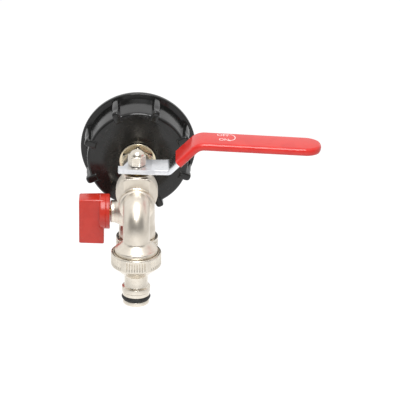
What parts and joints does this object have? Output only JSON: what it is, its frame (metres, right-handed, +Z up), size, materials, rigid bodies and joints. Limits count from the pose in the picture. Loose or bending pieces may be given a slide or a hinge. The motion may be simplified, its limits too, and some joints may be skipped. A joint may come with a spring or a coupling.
{
  "type": "ibc tap adapter",
  "caption": "Black screw cap for a bulk tank with a plated ball tap, red lever, bent spout with a hose connector, and a second threaded outlet with a small red handle.",
  "frame": {"origin": "centre of the cap's open mouth", "axes": "+Y along the inlet into the tank, +Z up, +X along the closed lever"},
  "size_m": [0.1487, 0.1104, 0.1006],
  "materials": {
    "black_plastic": "satin moulded",
    "black_rubber": "matt",
    "nickel_plating": "nickel plated",
    "brass": "machined",
    "polished_steel": "polished",
    "zinc_plating": "zinc plated",
    "ptfe": "smooth",
    "red_vinyl": "dipped vinyl",
    "red_plastic": "satin moulded"
  },
  "bodies": {
    "tap": {"cap": "black_plastic", "cap_gasket": "black_rubber", "backnut_seal": "black_rubber", "backnut": "brass", "inlet_connector": "nickel_plating", "valve_body": "nickel_plating", "seat_retainer": "brass", "main_seat_front": "ptfe", "main_seat_rear": "ptfe", "stem_packing": "ptfe", "packing_gland": "brass", "small_seat_upper": "ptfe", "small_seat_lower": "ptfe", "small_stem_o_ring": "black_rubber", "lower_outlet": "nickel_plating", "hose_connector": "nickel_plating", "hose_washer": "black_rubber", "nipple_o_ring": "black_rubber"},
    "main_lever": {"lever": "zinc_plating", "lever_sleeve": "red_vinyl", "lever_nut": "nickel_plating", "main_stem": "brass", "main_ball": "polished_steel"},
    "side_handle": {"small_handle": "red_plastic", "handle_screw": "zinc_plating", "small_stem": "brass", "small_ball": "polished_steel"}
  },
  "joints": [
    {"name": "lever_turn", "type": "hinge", "parent": "tap", "child": "main_lever", "pos_m": [0, -0.069, 0.0148], "axis": [0, 0, 1], "range_deg": [-90, 0]},
    {"name": "small_handle_turn", "type": "hinge", "parent": "tap", "child": "side_handle", "pos_m": [-0.02, -0.047, -0.0249], "axis": [1, 0, 0], "range_deg": [-90, 0]}
  ]
}
